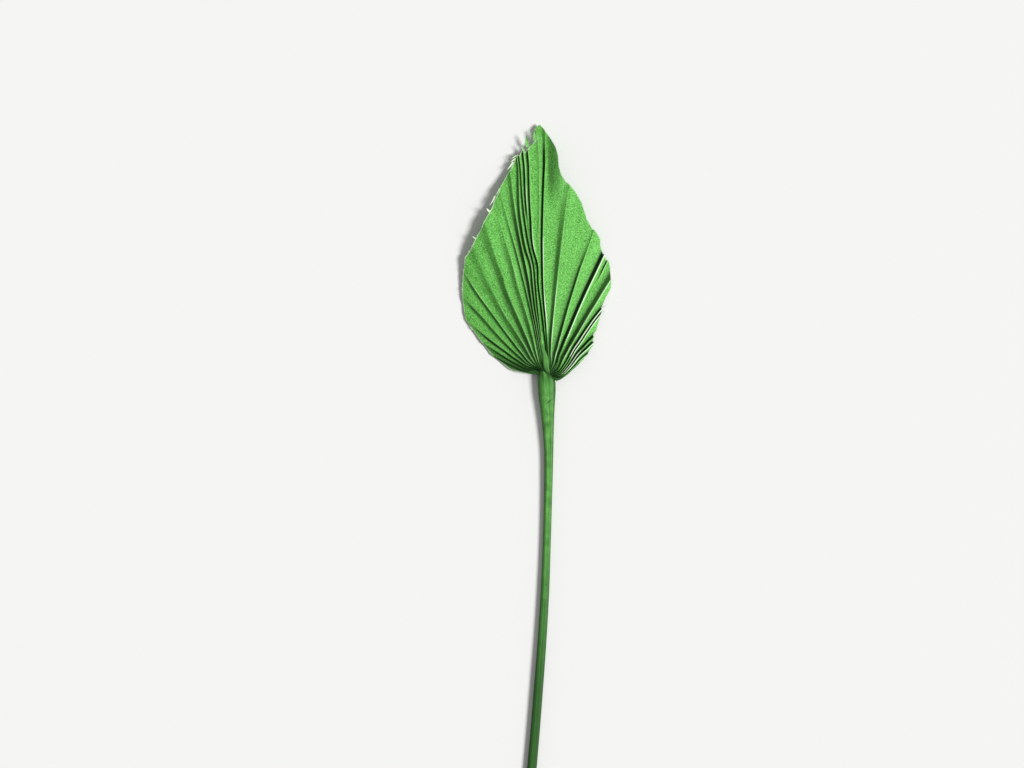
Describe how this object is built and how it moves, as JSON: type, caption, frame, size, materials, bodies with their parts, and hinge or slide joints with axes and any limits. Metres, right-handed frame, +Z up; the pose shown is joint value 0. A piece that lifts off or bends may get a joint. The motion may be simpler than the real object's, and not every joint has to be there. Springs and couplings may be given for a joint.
{
  "type": "dried palm spear",
  "caption": "Dried, dyed fan palm leaf trimmed to a pointed spear head, with sharp radiating pleats on a long tapering leaf stalk, for dried flower arrangements.",
  "frame": {"origin": "on the resting plane, straight under the hub where the leaf stalk meets the pleated blade", "axes": "+Y runs from the hub to the tip of the blade, so the cut end of the stalk points to -Y; +Z is up out of the leaf's face as it lies; +X is to the right when the face is seen with its tip up"},
  "size_m": [0.0996, 0.5006, 0.0107],
  "materials": {
    "palm_leaf": "matt dyed dried palm leaf, slightly waxy, with fine lengthwise fibres"
  },
  "bodies": {
    "root": {"palm_spear": "palm_leaf"}
  },
  "joints": []
}
